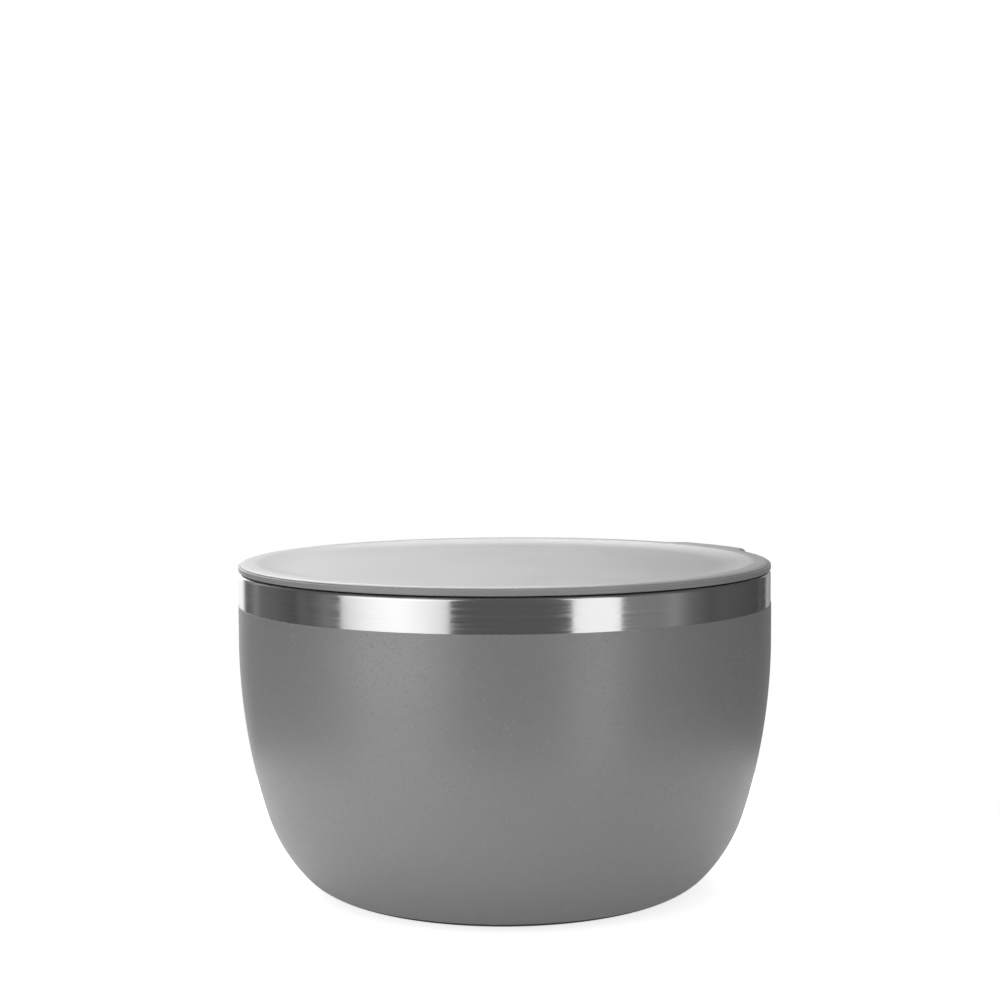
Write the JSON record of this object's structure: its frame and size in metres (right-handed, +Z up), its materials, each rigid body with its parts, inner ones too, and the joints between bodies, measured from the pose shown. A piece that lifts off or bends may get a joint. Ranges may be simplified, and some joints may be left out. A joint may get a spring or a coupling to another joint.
{
  "type": "insulated bowl",
  "caption": "Round vacuum-insulated stainless steel bowl with a powder-coated outside, a bare steel band at the rim and a press-in lid with a pull tab, for hot or cold food.",
  "frame": {"origin": "centre of the foot pad's underside, on the surface that the bowl stands on", "axes": "+Z up along the axis of the bowl, +Y towards the pull tab of the lid, +X to the right of the tab as seen from in front"},
  "size_m": [0.146, 0.1497, 0.09],
  "materials": {
    "shell_steel": "fine brushing around the band",
    "liner_steel": "fine brushing around the bowl",
    "weld_steel": "ground flush",
    "powder_coat": "satin powder coat with a few fine specks",
    "copper": "bright foil",
    "getter_alloy": "sintered and matt",
    "clip_steel": "cold rolled",
    "seal_glass": "fused sealing glass",
    "cover_steel": "stamped",
    "adhesive": "clear tacky film",
    "foot_silicone": "matt moulded silicone",
    "lid_plastic": "fine satin moulding",
    "gasket_silicone": "satin silicone"
  },
  "bodies": {
    "bowl": {"outer_shell": "shell_steel", "inner_shell": "liner_steel", "rim_weld": "weld_steel", "powder_coat": "powder_coat", "copper_foil": "copper", "getter": "getter_alloy", "getter_clip": "clip_steel", "seal_bead": "seal_glass", "seal_cover": "cover_steel", "foot_adhesive": "adhesive", "foot_pad": "foot_silicone"},
    "lid": {"lid_panel": "lid_plastic", "lid_gasket": "gasket_silicone"}
  },
  "joints": [
    {"name": "lid_lift", "type": "slide", "parent": "bowl", "child": "lid", "axis": [0, 0, 1], "range_m": [0, 0.1]}
  ]
}
